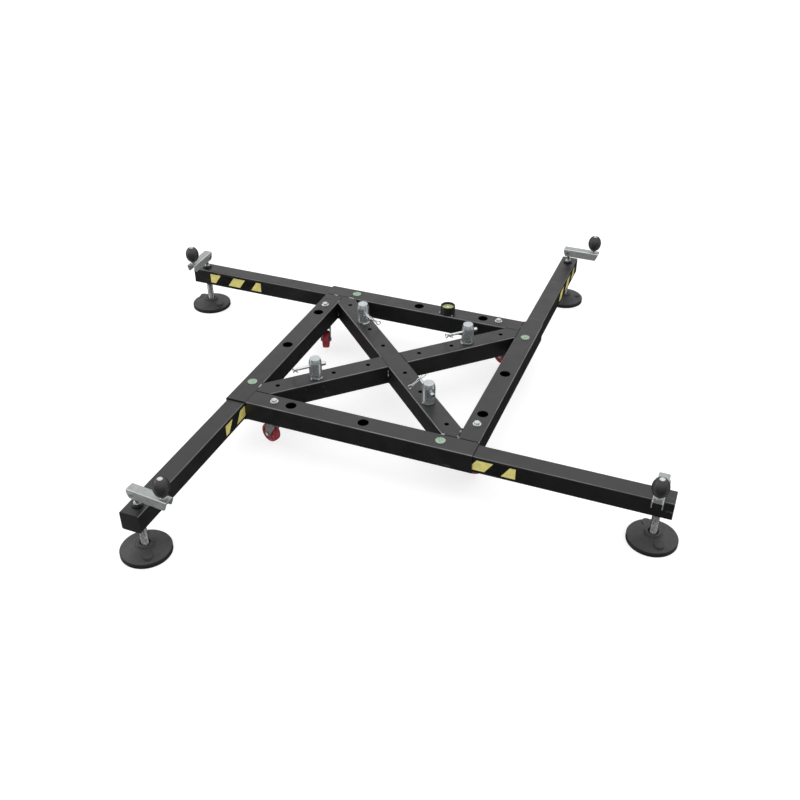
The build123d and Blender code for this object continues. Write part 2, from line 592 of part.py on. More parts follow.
for arm in ARMS:
    save(at_jack(swivel_ball.part, arm, 0), f"swivel_ball_{arm}")
    save(at_jack(foot_plate.part, arm, FOOT_TURN[arm]), f"foot_plate_{arm}")
    turn = LEVER_TURN[arm]
    save(at_jack(spindle.part, arm, turn), f"jack_spindle_{arm}")
    save(at_jack(crank_pin.part, arm, turn), f"crank_pin_{arm}")
    save(at_jack(crank_lever.part, arm, turn), f"crank_lever_{arm}")
    save(at_jack(knob.part.moved(Location((KNOB_PLACE, 0, 0))), arm, turn), f"crank_knob_{arm}")
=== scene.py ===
"""Studio scene of a truss tower ground base.

The frame's own solids get their finishes here. The spindles, levers, knobs, wheels, feet and posts are
drawn again in finer detail, and weld beads, stickers, level marks and seal rings are added.
"""

import json
import math

import bmesh
import bpy
from mathutils import Matrix, Vector


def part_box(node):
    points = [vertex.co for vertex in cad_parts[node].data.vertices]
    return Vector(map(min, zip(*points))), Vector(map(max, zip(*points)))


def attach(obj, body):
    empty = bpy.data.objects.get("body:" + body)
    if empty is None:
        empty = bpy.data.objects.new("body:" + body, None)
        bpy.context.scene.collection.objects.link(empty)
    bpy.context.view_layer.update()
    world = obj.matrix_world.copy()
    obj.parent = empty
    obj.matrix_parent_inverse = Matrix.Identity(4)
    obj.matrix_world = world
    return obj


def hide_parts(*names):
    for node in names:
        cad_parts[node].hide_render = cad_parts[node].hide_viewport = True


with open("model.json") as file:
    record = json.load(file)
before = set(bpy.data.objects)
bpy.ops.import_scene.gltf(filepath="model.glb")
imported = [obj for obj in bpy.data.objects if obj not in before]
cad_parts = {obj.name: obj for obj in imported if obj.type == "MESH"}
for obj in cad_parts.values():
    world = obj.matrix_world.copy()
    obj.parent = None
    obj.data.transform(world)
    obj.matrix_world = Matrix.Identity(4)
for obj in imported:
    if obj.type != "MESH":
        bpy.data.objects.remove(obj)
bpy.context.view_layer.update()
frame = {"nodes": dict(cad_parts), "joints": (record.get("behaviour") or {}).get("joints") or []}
NODES = frame["nodes"]
JOINTS = {joint["name"]: joint for joint in frame["joints"]}
ARMS = {"front": 0.0, "right": 90.0, "back": 180.0, "left": 270.0}
MM = 0.001
UP = Vector((0, 0, 1))

# Places read from the frame ---------------------------------------------------------------------
sleeve_low, sleeve_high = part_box("sleeve_front")
TUBE_TOP = sleeve_high.z
TUBE_BOTTOM = sleeve_low.z
HALF = sleeve_high.x                     # half of the square frame
TUBE = TUBE_TOP - TUBE_BOTTOM
INNER = HALF - TUBE                      # half of the square between the sleeves
leg_low, leg_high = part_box("outrigger_front")
LEG = leg_high.y - leg_low.y
AXIS_Z = (TUBE_TOP + TUBE_BOTTOM) / 2
ARM_LINE = HALF - TUBE / 2
POST_RADIUS = 24 * MM
LEVER_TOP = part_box("crank_knob_front")[0].z - 10 * MM


def turned(arm, point):
    """A point given for the front arm, moved to the same place on another arm."""
    return Matrix.Rotation(math.radians(ARMS[arm]), 4, "Z") @ Vector(point)


def across_joint(joint):
    """A matrix that stands a shape on a hinge, its Z along the hinge's axis."""
    turn = Vector(joint["axis"]).to_track_quat("Z", "Y").to_matrix().to_4x4()
    return Matrix.Translation(joint["pos_m"]) @ turn


# Camera, light and floor ------------------------------------------------------------------------
CAMERA_PLACE = (1.1601, -2.8981, 2.1539)
CAMERA_TARGET = (0.1250, -0.2526, 0.202)
CAMERA_ROLL = 0.15                       # degrees
CAMERA_LENS = 42.8
SENSOR = 36.0
SKY_LIGHT = 0.82                         # the world's strength for everything but reflections
PANELS = ((197, 0.20), (14, 0.14))       # light panels: azimuth in degrees, half width in radians
PANEL_SOFT = 0.12                        # radians over which a panel fades
PANEL_LIGHT = 0.80
LOW_LIGHT = 0.03                         # reflected under the horizon, between the panels
FLOOR_REACH = 30.0
FLOOR_DROP = 0.2 * MM                    # keeps the floor clear of the feet


def look_at(thing, place, target, roll=0.0):
    """Stand a camera or light at place, facing target."""
    thing.location = place
    thing.rotation_mode = "QUATERNION"
    facing = (Vector(target) - Vector(place)).to_track_quat("-Z", "Y")
    thing.rotation_quaternion = facing @ Matrix.Rotation(math.radians(roll), 3, "Z").to_quaternion()


def make_camera():
    data = bpy.data.cameras.new("camera")
    data.lens = CAMERA_LENS
    data.sensor_width = SENSOR
    camera = bpy.data.objects.new("camera", data)
    bpy.context.scene.collection.objects.link(camera)
    look_at(camera, CAMERA_PLACE, CAMERA_TARGET, CAMERA_ROLL)
    bpy.context.scene.camera = camera


def area_light(name, place, target, size, power):
    data = bpy.data.lights.new(name, "AREA")
    data.shape = "RECTANGLE"
    data.size, data.size_y = size
    data.energy = power
    light = bpy.data.objects.new(name, data)
    bpy.context.scene.collection.objects.link(light)
    look_at(light, place, target)
    return light


def make_world():
    """A white tent above, and under the horizon a dark grey with two light panels for the metal."""
    world = bpy.data.worlds.new("studio")
    bpy.context.scene.world = world
    world.use_nodes = True
    tree = world.node_tree
    tree.nodes.clear()
    shader = Graph(tree)
    direction = shader.new("ShaderNodeTexCoord").outputs["Generated"]
    parts = shader.new("ShaderNodeSeparateXYZ", Vector=direction)
    height = shader.map_range(parts.outputs["Z"], (-0.02, 0.22), (0.0, 1.0))
    azimuth = shader.math("ARCTAN2", parts.outputs["Y"], parts.outputs["X"])
    panels = 0.0
    for centre, width in PANELS:
        centre = math.radians(centre)
        turn = shader.math("SUBTRACT", azimuth, math.atan2(math.sin(centre), math.cos(centre)))
        off = shader.math("ABSOLUTE", shader.math("WRAP", turn, math.pi, -math.pi))
        lit = shader.map_range(off, (width, width + PANEL_SOFT), (1.0, 0.0))
        panels = shader.math("ADD", lit, panels)
    low = shader.math("MULTIPLY_ADD", panels, PANEL_LIGHT, LOW_LIGHT)
    glossy = shader.mix_float(height, low, 1.0)
    is_glossy = shader.new("ShaderNodeLightPath").outputs["Is Glossy Ray"]
    strength = shader.mix_float(is_glossy, SKY_LIGHT, glossy)
    background = shader.new("ShaderNodeBackground", Color=(1, 1, 1, 1), Strength=strength)
    output = shader.new("ShaderNodeOutputWorld")
    tree.links.new(background.outputs[0], output.inputs["Surface"])


def make_floor():
    """A plain pale floor, a little self-lit so that shadows stay faint."""
    shape = bmesh.new()
    bmesh.ops.create_grid(shape, x_segments=8, y_segments=8, size=FLOOR_REACH)
    mesh = bpy.data.meshes.new("floor")
    shape.to_mesh(mesh)
    floor = bpy.data.objects.new("floor", mesh)
    floor.location = (0, 0, -FLOOR_DROP)
    bpy.context.scene.collection.objects.link(floor)
    pale = bpy.data.materials.new("pale_floor")
    pale.use_nodes = True
    shader = Graph(pale.node_tree)
    tone = shader.new("ShaderNodeTexNoise", Scale=1.5, Detail=2.0)
    shader.drive("Roughness", shader.map_range(tone.outputs["Fac"], (0.3, 0.7), (0.85, 0.95)))
    shader.surface.inputs["Base Color"].default_value = (0.60, 0.60, 0.60, 1)
    shader.surface.inputs["Specular IOR Level"].default_value = 0.0
    shader.surface.inputs["Emission Color"].default_value = (1, 1, 1, 1)
    shader.surface.inputs["Emission Strength"].default_value = 0.64
    mesh.materials.append(pale)
    floor.visible_glossy = False


# Shader building --------------------------------------------------------------------------------
class Graph:
    """A short way to write a node tree; numbers are set on sockets and outputs are linked."""

    def __init__(self, tree):
        self.tree = tree
        self.surface = tree.nodes.get("Principled BSDF")

    def new(self, kind, **inputs):
        node = self.tree.nodes.new(kind)
        for name, value in inputs.items():
            self.put(node.inputs[name.replace("_", " ")], value)
        return node

    def put(self, socket, value):
        if isinstance(value, bpy.types.NodeSocket):
            self.tree.links.new(value, socket)
        else:
            socket.default_value = value

    def drive(self, name, value):
        self.put(self.surface.inputs[name], value)

    def math(self, operation, *values):
        node = self.tree.nodes.new("ShaderNodeMath")
        node.operation = operation
        for socket, value in zip(node.inputs, values):
            self.put(socket, value)
        return node.outputs[0]

    def map_range(self, value, before, after):
        node = self.new("ShaderNodeMapRange", Value=value)
        node.inputs["From Min"].default_value, node.inputs["From Max"].default_value = before
        node.inputs["To Min"].default_value, node.inputs["To Max"].default_value = after
        return node.outputs[0]

    def mix_float(self, factor, low, high):
        node = self.tree.nodes.new("ShaderNodeMix")
        for socket, value in zip(node.inputs[:1] + node.inputs[2:4], (factor, low, high)):
            self.put(socket, value)
        return node.outputs[0]

    def mix_color(self, factor, low, high):
        node = self.tree.nodes.new("ShaderNodeMix")
        node.data_type = "RGBA"
        self.put(node.inputs[0], factor)
        self.put(node.inputs[6], low)
        self.put(node.inputs[7], high)
        return node.outputs[2]

    def place(self, stretch=(1, 1, 1)):
        """Coordinates fixed to the piece, in metres, stretched along its axes."""
        coordinates = self.new("ShaderNodeTexCoord").outputs["Object"]
        return self.new("ShaderNodeMapping", Vector=coordinates, Scale=stretch).outputs[0]

    def noise(self, scale, detail=3.0, stretch=(1, 1, 1)):
        node = self.new("ShaderNodeTexNoise", Vector=self.place(stretch), Scale=scale, Detail=detail)
        return node.outputs["Fac"]

    def bump(self, height, depth):
        node = self.new("ShaderNodeBump", Height=height, Strength=1.0, Distance=depth)
        self.drive("Normal", node.outputs[0])


RUBBED_GREY = (0.16, 0.16, 0.16)
# Painted highlight: rounded top edges whose normal leans up about this much get a light line painted into
# their colour.
EDGE_HIGHLIGHT_LIFT = 0.66                         # upward part of the normal in the middle of a rounded edge


def shade(color, factor):
    return (*(channel * factor for channel in color), 1.0)


def finish(name, color, roughness, metallic=0.0, vary=0.15, vary_scale=30.0, rough_vary=0.06,
           bump_scale=700.0, depth=0.02, stretch=(1, 1, 1), wear=0.0, edge_highlight=0.0, glint_and_scuff=0.0, **sockets):
    """A procedural finish: uneven colour and gloss, a fine surface grain and rubbed patches.

    wear rubs scratches into it. edge paints a light line along rounded top edges: a painted highlight.
    glint paints light grey spots: part painted highlight, part bare-metal scuffs.
    """
    made = bpy.data.materials.new(name)
    made.use_nodes = True
    graph = Graph(made.node_tree)
    cloud = graph.noise(vary_scale, 4.0)
    spread = graph.map_range(cloud, (0.32, 0.68), (0.0, 1.0))
    tint = graph.mix_color(spread, shade(color, 1 - vary), shade(color, 1 + vary))
    gloss = graph.map_range(graph.noise(vary_scale * 2.3, 4.0), (0.3, 0.7),
                            (roughness - rough_vary, roughness + rough_vary))
    if wear:
        scratches = graph.noise(160.0, 5.0, (0.12, 1.0, 1.0))
        rubbed = graph.map_range(scratches, (0.66, 0.72), (0.0, wear))
        patch = graph.map_range(graph.noise(7.0, 2.0), (0.52, 0.62), (0.0, 1.0))
        rubbed = graph.math("MULTIPLY", rubbed, patch)
        tint = graph.mix_color(rubbed, tint, (*RUBBED_GREY, 1.0))
        gloss = graph.math("ADD", gloss, graph.math("MULTIPLY", rubbed, 0.25))
    # Painted highlight: a light line mixed into the base colour on rounded top edges, picked by the normal's
    # upward part, in place of the lamps' reflection there.
    if edge_highlight:
        normal = graph.new("ShaderNodeTexCoord").outputs["Normal"]
        lift = graph.new("ShaderNodeSeparateXYZ", Vector=normal).outputs["Z"]
        off = graph.math("ABSOLUTE", graph.math("SUBTRACT", lift, EDGE_HIGHLIGHT_LIFT))
        highlight_line = graph.map_range(off, (0.13, 0.24), (1.0, 0.0))
        highlight_breakup = graph.map_range(graph.noise(14.0, 4.0), (0.30, 0.62), (0.45, 1.0))
        tint = graph.mix_color(graph.math("MULTIPLY", highlight_line, highlight_breakup), tint, (edge_highlight, edge_highlight, edge_highlight, 1.0))
    # Light grey spots painted into the colour: part painted highlight (glints), part bare-metal scuffs.
    if glint_and_scuff:
        glint_and_scuff_spots = graph.map_range(graph.noise(21.0, 3.0), (0.57, 0.62), (0.0, 1.0))
        tint = graph.mix_color(glint_and_scuff_spots, tint, (glint_and_scuff, glint_and_scuff, glint_and_scuff, 1.0))
    graph.drive("Base Color", tint)
    graph.drive("Roughness", gloss)
    graph.drive("Metallic", metallic)
    graph.bump(graph.noise(bump_scale, 3.0, stretch), depth * MM)
    for socket, value in sockets.items():
        graph.surface.inputs[socket.replace("_", " ")].default_value = value
    return made


# The edge value paints a light line on the tubes' rounded top edges: a painted highlight.
PAINT = finish("black_paint", (0.0070, 0.0070, 0.0074), 0.38, vary=0.25, vary_scale=9.0, rough_vary=0.06,
               bump_scale=1300.0, depth=0.012, wear=0.5, edge_highlight=0.20, Specular_IOR_Level=0.62)
LEG_PAINT = finish("outrigger_paint", (0.0070, 0.0070, 0.0074), 0.40, vary=0.25, vary_scale=8.0,
                   rough_vary=0.06, bump_scale=1300.0, depth=0.012, wear=0.9, edge_highlight=0.15,
                   Specular_IOR_Level=0.62)
CAST_PAINT = finish("cast_paint", (0.024, 0.024, 0.026), 0.60, vary=0.25, vary_scale=24.0,
                    bump_scale=420.0, depth=0.14, Specular_IOR_Level=0.85)
# Painted shade: near-black for the thin band over the foot rim's upright face, which the lamps leave in
# shade.
RIM_PAINTED_SHADE = finish("foot_rim", (0.006, 0.006, 0.006), 0.60, vary=0.25, vary_scale=40.0,
                    bump_scale=600.0, depth=0.08)
# glint paints light grey spots on the weld beads: part painted highlight, part bare-metal scuffs.
BEAD_PAINT = finish("weld_paint", (0.010, 0.010, 0.011), 0.36, vary=0.3, vary_scale=60.0,
                    bump_scale=900.0, depth=0.03, glint_and_scuff=0.70)
RING_BLACK = finish("bush_ring", (0.006, 0.006, 0.006), 0.45, vary=0.3, vary_scale=60.0,
                    bump_scale=900.0, depth=0.03)
POST_ZINC = finish("post_zinc", (0.56, 0.60, 0.61), 0.27, metallic=0.80, vary=0.10,
                   vary_scale=30.0, rough_vary=0.04, bump_scale=700.0, depth=0.003)
PIN_ZINC = finish("pin_zinc", (0.66, 0.67, 0.68), 0.24, metallic=1.0, vary=0.08, vary_scale=90.0,
                  bump_scale=900.0, depth=0.01)
WIRE = finish("clip_wire", (0.66, 0.67, 0.68), 0.22, metallic=1.0, vary=0.06, vary_scale=120.0,
              bump_scale=1500.0, depth=0.006)
BOLT_ZINC = finish("bolt_zinc", (0.66, 0.68, 0.69), 0.28, metallic=1.0, vary=0.12,
                   vary_scale=140.0, bump_scale=800.0, depth=0.015)
SCREW_ZINC = finish("screw_zinc", (0.40, 0.41, 0.42), 0.26, metallic=1.0, vary=0.30,
                    vary_scale=90.0, bump_scale=900.0, depth=0.015)
# The edge value paints a light line along the lever's bends: a painted highlight.
LEVER_ZINC = finish("lever_zinc", (0.40, 0.42, 0.41), 0.40, metallic=0.62, vary=0.12,
                    vary_scale=48.0, rough_vary=0.08, bump_scale=380.0, depth=0.03, edge_highlight=0.85)
FORK_ZINC = finish("fork_zinc", (0.19, 0.19, 0.185), 0.45, metallic=0.6, vary=0.12,
                   vary_scale=60.0, bump_scale=500.0, depth=0.02)
BALL_STEEL = finish("ball_steel", (0.30, 0.30, 0.31), 0.30, metallic=1.0, vary=0.15,
                    vary_scale=80.0, bump_scale=700.0, depth=0.01)
KNOB = finish("knob_phenolic", (0.014, 0.014, 0.015), 0.46, vary=0.25, vary_scale=60.0,
              rough_vary=0.05, bump_scale=500.0, depth=0.012, Specular_IOR_Level=0.7)
WHEEL = finish("wheel_crimson", (0.23, 0.012, 0.022), 0.38, vary=0.16, vary_scale=60.0,
               bump_scale=900.0, depth=0.02)
VIAL_PALE = finish("vial_pale", (0.42, 0.56, 0.43), 0.30, vary=0.12, vary_scale=120.0,
                   bump_scale=900.0, depth=0.01)
VIAL_CLEAR = finish("vial_clear", (0.44, 0.60, 0.45), 0.12, vary=0.10, vary_scale=90.0,
                    bump_scale=300.0, depth=0.004, Coat_Weight=0.5)
VIAL_MARK = finish("vial_mark", (0.04, 0.12, 0.06), 0.40, vary=0.15, vary_scale=120.0,
                   bump_scale=900.0, depth=0.005)
VIAL_EYE = finish("vial_eye", (0.16, 0.32, 0.18), 0.20, vary=0.15, vary_scale=120.0,
                  bump_scale=900.0, depth=0.005, Coat_Weight=0.5)
BUBBLE = finish("bubble", (0.66, 0.85, 0.66), 0.06, vary=0.06, vary_scale=150.0,
                bump_scale=300.0, depth=0.002, Coat_Weight=1.0)
LEVEL_BLACK = finish("level_black", (0.010, 0.010, 0.009), 0.36, vary=0.2, vary_scale=70.0,
                     bump_scale=900.0, depth=0.02)
LEVEL_CLEAR = finish("level_clear", (0.50, 0.52, 0.24), 0.14, vary=0.10, vary_scale=60.0,
                     bump_scale=300.0, depth=0.004, Coat_Weight=0.5)
FILM_BLACK = finish("sticker_black", (0.006, 0.006, 0.006), 0.34, vary=0.2, vary_scale=20.0,
                    bump_scale=600.0, depth=0.01)
FILM_YELLOW = finish("sticker_yellow", (0.58, 0.52, 0.15), 0.45, vary=0.12, vary_scale=45.0,
                     bump_scale=900.0, depth=0.01)

CAD_FINISHES = {
    "sleeve": (PAINT, "frame_paint"), "diagonal": (PAINT, "frame_paint"),
    "outrigger": (LEG_PAINT, "leg_paint"), "outrigger_clamp": (BOLT_ZINC, "bolt_zinc"),
    "foot_plate": (CAST_PAINT, "foot_paint"), "truss_posts": (POST_ZINC, "post_zinc"),
    "post_pin": (PIN_ZINC, "pin_zinc"), "spring_clip": (WIRE, "clip_wire"),
    "castor_bolts": (BOLT_ZINC, "bolt_zinc"), "castor_bearing": (FORK_ZINC, "fork_zinc"),
    "castor_fork": (FORK_ZINC, "fork_zinc"), "castor_wheel": (WHEEL, "wheel_red"),
    "jack_spindle": (SCREW_ZINC, "screw_zinc"), "crank_pin": (BOLT_ZINC, "bolt_zinc"),
    "crank_lever": (LEVER_ZINC, "lever_zinc"), "crank_knob": (KNOB, "knob_plastic"),
    "swivel_ball": (BALL_STEEL, "ball_steel"), "vial_bodies": (VIAL_PALE, "vial_green"),
    "vial_lenses": (VIAL_CLEAR, "vial_green_clear"), "level_housing": (LEVEL_BLACK, "level_black"),
    "level_lens": (LEVEL_CLEAR, "level_clear"),
}


def paint_cad_nodes():
    """Give each CAD node its finish, chosen by the longest matching start of its name."""
    for name, node in NODES.items():
        start = max((key for key in CAD_FINISHES if name.startswith(key)), key=len)
        made, slot = CAD_FINISHES[start]
        node.data.materials.clear()
        node.data.materials.append(made)


# Mesh building ----------------------------------------------------------------------------------
class Shape:
    """Mesh parts gathered into one piece, in the row frame."""

    def __init__(self):
        self.mesh = bmesh.new()

    def grid(self, rows, closed_along=False, closed_across=False, cap=False):
        """Faces between rows of points; closed_across joins each row's ends."""
        rings = [[self.mesh.verts.new(point) for point in row] for row in rows]
        width = len(rings[0])
        across = width if closed_across else width - 1
        along = len(rings) if closed_along else len(rings) - 1
        for i in range(along):
            low, high = rings[i], rings[(i + 1) % len(rings)]
            for j in range(across):
                k = (j + 1) % width
                self.mesh.faces.new((low[j], low[k], high[k], high[j]))
        if cap:
            self.mesh.faces.new(list(reversed(rings[0])))
            self.mesh.faces.new(rings[-1])
        return rings

    def lathe(self, profile, place=Matrix.Identity(4), sides=64):
        """Turn an open or closed line of (radius, height) points about the place's own Z."""
        rows = []
        for radius, height in profile:
            ring = []
            for i in range(sides):
                angle = math.tau * i / sides
                ring.append(place @ Vector((radius * math.cos(angle), radius * math.sin(angle), height)))
            rows.append(ring)
        self.grid(rows, closed_across=True, cap=True)

    def prism(self, outline, low, high, place=Matrix.Identity(4), bevel=0.0):
        """Raise an outline of (x, y) points from low to high, its edges cut back by bevel."""
        centre = sum((Vector(point) for point in outline), Vector((0, 0))) / len(outline)
        reach = max((Vector(point) - centre).length for point in outline)
        rows = []
        for height, cut in ((low, bevel), (low + bevel, 0), (high - bevel, 0), (high, bevel)):
            if bevel or height in (low, high):
                scale = 1 - cut / reach
                row = [centre + (Vector(point) - centre) * scale for point in outline]
                rows.append([place @ Vector((point.x, point.y, height)) for point in row])
        if not bevel:
            rows = [rows[0], rows[-1]]
        self.grid(rows, closed_across=True, cap=True)

    def tube(self, path, radius, sides=10, closed=False, ripple=0.0, ripple_step=1):
        """A round bar along a path; ripple swells it like a run of weld puddles."""
        rows = []
        count = len(path)
        for i, point in enumerate(path):
            before = path[(i - 1) % count] if closed or i else path[i]
            after = path[(i + 1) % count] if closed or i < count - 1 else path[i]
            along = (Vector(after) - Vector(before)).normalized()
            side = along.cross(UP if abs(along.z) < 0.9 else Vector((1, 0, 0))).normalized()
            top = side.cross(along)
            swell = radius * (1 + ripple * abs(math.sin(math.pi * i / ripple_step)))
            rows.append([Vector(point) + (side * math.cos(math.tau * j / sides)
                                          + top * math.sin(math.tau * j / sides)) * swell
                         for j in range(sides)])
        self.grid(rows, closed_along=closed, closed_across=True, cap=not closed)

    def piece(self, name, look, body, replaces=(), sharp=38.0, bevel=0.0):
        """Finish the mesh as an object that rides on a body."""
        bmesh.ops.recalc_face_normals(self.mesh, faces=self.mesh.faces)
        if bevel:
            edges = [e for e in self.mesh.edges
                     if e.is_manifold and e.calc_face_angle() > math.radians(40)]
            bmesh.ops.bevel(self.mesh, geom=edges, offset=bevel, segments=2, affect="EDGES",
                            profile=0.6, clamp_overlap=True)
        data = bpy.data.meshes.new(name)
        self.mesh.to_mesh(data)
        self.mesh.free()
        for face in data.polygons:
            face.use_smooth = True
        data.set_sharp_from_angle(angle=math.radians(sharp))
        data.materials.append(look)
        made = bpy.data.objects.new(name, data)
        bpy.context.scene.collection.objects.link(made)
        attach(made, body)
        if replaces:
            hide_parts(*replaces)
        return made


def circle(radius, sides, turn=0.0):
    return [(radius * math.cos(turn + math.tau * i / sides), radius * math.sin(turn + math.tau * i / sides))
            for i in range(sides)]


def softened(points, radius, steps=3):
    """A line of points with each inner corner rounded."""
    line = [Vector(points[0])]
    for before, corner, after in zip(points, points[1:], points[2:]):
        before, corner, after = Vector(before), Vector(corner), Vector(after)
        reach = min(radius, (before - corner).length * 0.45, (after - corner).length * 0.45)
        start = corner + (before - corner).normalized() * reach
        end = corner + (after - corner).normalized() * reach
        for i in range(steps + 1):
            t = i / steps
            line.append(start * (1 - t) ** 2 + corner * 2 * t * (1 - t) + end * t ** 2)
    return line + [Vector(points[-1])]


def in_mm(points):
    return [(x * MM, y * MM) for x, y in points]


def stood(place, turn=0.0):
    """A matrix that moves a shape from the Z axis to place, turned about it."""
    return Matrix.Translation(place) @ Matrix.Rotation(turn, 4, "Z")


def resampled(corners, step, closed):
    """Points every step or so along straight runs between corners."""
    path = []
    runs = list(zip(corners, corners[1:] + corners[:1])) if closed else list(zip(corners, corners[1:]))
    for start, end in runs:
        start, end = Vector(start), Vector(end)
        count = max(1, round((end - start).length / step))
        path += [start.lerp(end, i / count) for i in range(count)]
    return path if closed else path + [Vector(corners[-1])]


# Jack spindles: real helical thread --------------------------------------------------------------
THREAD_PITCH = 5 * MM
THREAD_RADIUS = 13 * MM
THREAD_DEPTH = 1.5 * MM
THREAD_FORM = (0.0, 0.6, 1.0, 1.0, 1.0, 1.0, 1.0, 0.6)     # height of the thread over one pitch


def thread(shape, place, low, high, sides=40):
    """A cut thread: the radius follows the height and the turn together."""
    steps = len(THREAD_FORM)
    rows = []
    count = round((high - low) / THREAD_PITCH * steps)
    for i in range(count + 1):
        height = low + (high - low) * i / count
        fade = min(1.0, (height - low) / (2 * MM), (high - height) / (2 * MM))
        ring = []
        for j in range(sides):
            phase = (i - steps * j / sides) % steps
            low_step = THREAD_FORM[int(phase)]
            high_step = THREAD_FORM[(int(phase) + 1) % steps]
            form = low_step + (high_step - low_step) * (phase - int(phase))
            radius = THREAD_RADIUS - THREAD_DEPTH + THREAD_DEPTH * form * fade
            angle = math.tau * j / sides
            ring.append(place @ Vector((radius * math.cos(angle), radius * math.sin(angle), height)))
        rows.append(ring)
    shape.grid(rows, closed_across=True, cap=True)


def make_spindle(arm):
    low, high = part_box(f"jack_spindle_{arm}")
    fold = JOINTS[f"crank_fold_{arm}"]
    jack = Vector(fold["pos_m"])
    place = stood((jack.x, jack.y, 0))
    ball_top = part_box(f"swivel_ball_{arm}")[1].z
    screw_top = TUBE_TOP + 8 * MM
    shape = Shape()
    thread(shape, place, ball_top + 1 * MM, screw_top)
    keeper, journal, neck = 9.6 * MM, 8 * MM, 6.5 * MM
    collar, shank = 11 * MM, 10.5 * MM
    foot = [(1 * MM, low.z), (keeper, low.z), (keeper, low.z + 1.5 * MM), (journal, low.z + 1.5 * MM),
            (journal, ball_top + 0.1 * MM), (collar, ball_top + 0.1 * MM), (collar, ball_top + 2 * MM)]
    shape.lathe(softened(foot, 0.4 * MM), place, 48)
    top = [(shank, screw_top - 1 * MM), (shank, screw_top), (neck, screw_top + 1 * MM),
           (neck, jack.z - 4 * MM)]
    shape.lathe(softened(top, 0.8 * MM), place, 48)
    head, head_half = high.z - jack.z, 7 * MM
    ring = [(1 * MM, -head_half), (head, -head_half), (head, head_half), (1 * MM, head_half)]
    shape.lathe(softened(ring, 0.8 * MM), across_joint(fold), 40)
    shape.piece(f"threaded_spindle_{arm}", SCREW_ZINC, f"spindle_{arm}",
                replaces=[f"jack_spindle_{arm}"], sharp=50)


# Crank levers: pressed channels ------------------------------------------------------------------
LEVER_WIDTH = 36 * MM
LEVER_DEPTH = 34 * MM
LEVER_SHEET = 3 * MM
LEVER_BEND = 4.5 * MM
LEVER_TAIL = 20 * MM
LEVER_REACH = 135 * MM
KNOB_PLACE = 112 * MM


def lever_ends(depth):
    """Where the channel starts and stops along its length, this far below its top."""
    corner = 5 * MM
    tail_slant = 7 * MM * max(0.0, depth - 14 * MM) / (LEVER_DEPTH - 14 * MM)
    tip_slant = 10 * MM * max(0.0, depth - 8 * MM) / (LEVER_DEPTH - 8 * MM)
    into = max(0.0, depth - (LEVER_DEPTH - corner))
    round_off = corner - math.sqrt(max(0.0, corner ** 2 - into ** 2))
    return -LEVER_TAIL + tail_slant + round_off, LEVER_REACH - tip_slant - round_off


def channel_line(inset):
    """Half of the channel's cross-section as (distance from the middle, depth), from the lip up."""
    half, bend = LEVER_WIDTH / 2 - inset, max(LEVER_BEND - inset, 0.8 * MM)
    depths = [LEVER_DEPTH, 33.2 * MM, 32 * MM, 30.5 * MM, 29 * MM, 22 * MM, 14 * MM, 8 * MM]
    line = [(half, depth) for depth in depths]
    for i in range(7):
        angle = math.pi / 2 * i / 6
        line.append((half - bend + bend * math.cos(angle), inset + bend - bend * math.sin(angle)))
    return line


def make_lever(arm):
    fold = JOINTS[f"crank_fold_{arm}"]
    jack = Vector(fold["pos_m"])
    across = Vector(fold["axis"])
    heading = math.atan2(across.x, -across.y)
    top = LEVER_TOP
    place = stood((jack.x, jack.y, top), heading)
    shape = Shape()
    rows = {}
    for inset in (0.0, LEVER_SHEET):
        half = channel_line(inset)
        line = half + [(-y, depth) for y, depth in reversed(half)]
        rows[inset] = []
        for y, depth in line:
            start, stop = lever_ends(depth)
            row = []
            for t in (0.0, 0.2, 0.4, 0.6, 0.8, 1.0):
                row.append(place @ Vector((start + (stop - start) * t, y, -depth)))
            rows[inset].append(row)
    outer = shape.grid(rows[0.0])
    inner = shape.grid(rows[LEVER_SHEET])
    for i in range(len(outer) - 1):
        for end in (0, -1):
            shape.mesh.faces.new((outer[i][end], outer[i + 1][end], inner[i + 1][end], inner[i][end]))
    for lip in (0, -1):
        for j in range(len(outer[0]) - 1):
            shape.mesh.faces.new((outer[lip][j], outer[lip][j + 1], inner[lip][j + 1], inner[lip][j]))
    shape.piece(f"channel_lever_{arm}", LEVER_ZINC, f"lever_{arm}",
                replaces=[f"crank_lever_{arm}"], sharp=50, bevel=0.45 * MM)

    stand = place @ Matrix.Translation((KNOB_PLACE, 0, 0))
    hardware = Shape()
    collar, stud, cap = 8 * MM, 5 * MM, 9 * MM
    knob_low, knob_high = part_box(f"crank_knob_{arm}")
    cap_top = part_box(f"crank_lever_{arm}")[1].z - top
    hardware.lathe(softened([(0.5 * MM, -6 * MM), (collar, -6 * MM), (collar, -3 * MM), (stud, -3 * MM),
                             (stud, -2 * MM)], 0.7 * MM), stand, 40)
    hardware.lathe(softened([(stud, -0.5 * MM), (collar + 2 * MM, 0), (collar + 2 * MM, 1.6 * MM),
                             (collar, 1.6 * MM), (collar, knob_low.z - top - 0.4 * MM),
                             (stud, knob_low.z - top - 0.3 * MM), (stud, cap_top - 2 * MM)], 0.4 * MM),
                   stand, 40)
    hardware.lathe(softened([(stud, cap_top - 2 * MM), (cap, cap_top - 2 * MM), (cap, cap_top - 1.1 * MM),
                             (cap - 0.8 * MM, cap_top - 0.7 * MM), (2 * MM, cap_top - 0.7 * MM)], 0.3 * MM),
                   stand, 48)
    hardware.prism(circle(6.6 * MM, 6), cap_top - 0.8 * MM, cap_top, stand, 0.3 * MM)
    hardware.piece(f"knob_stud_{arm}", BOLT_ZINC, f"lever_{arm}", sharp=30)


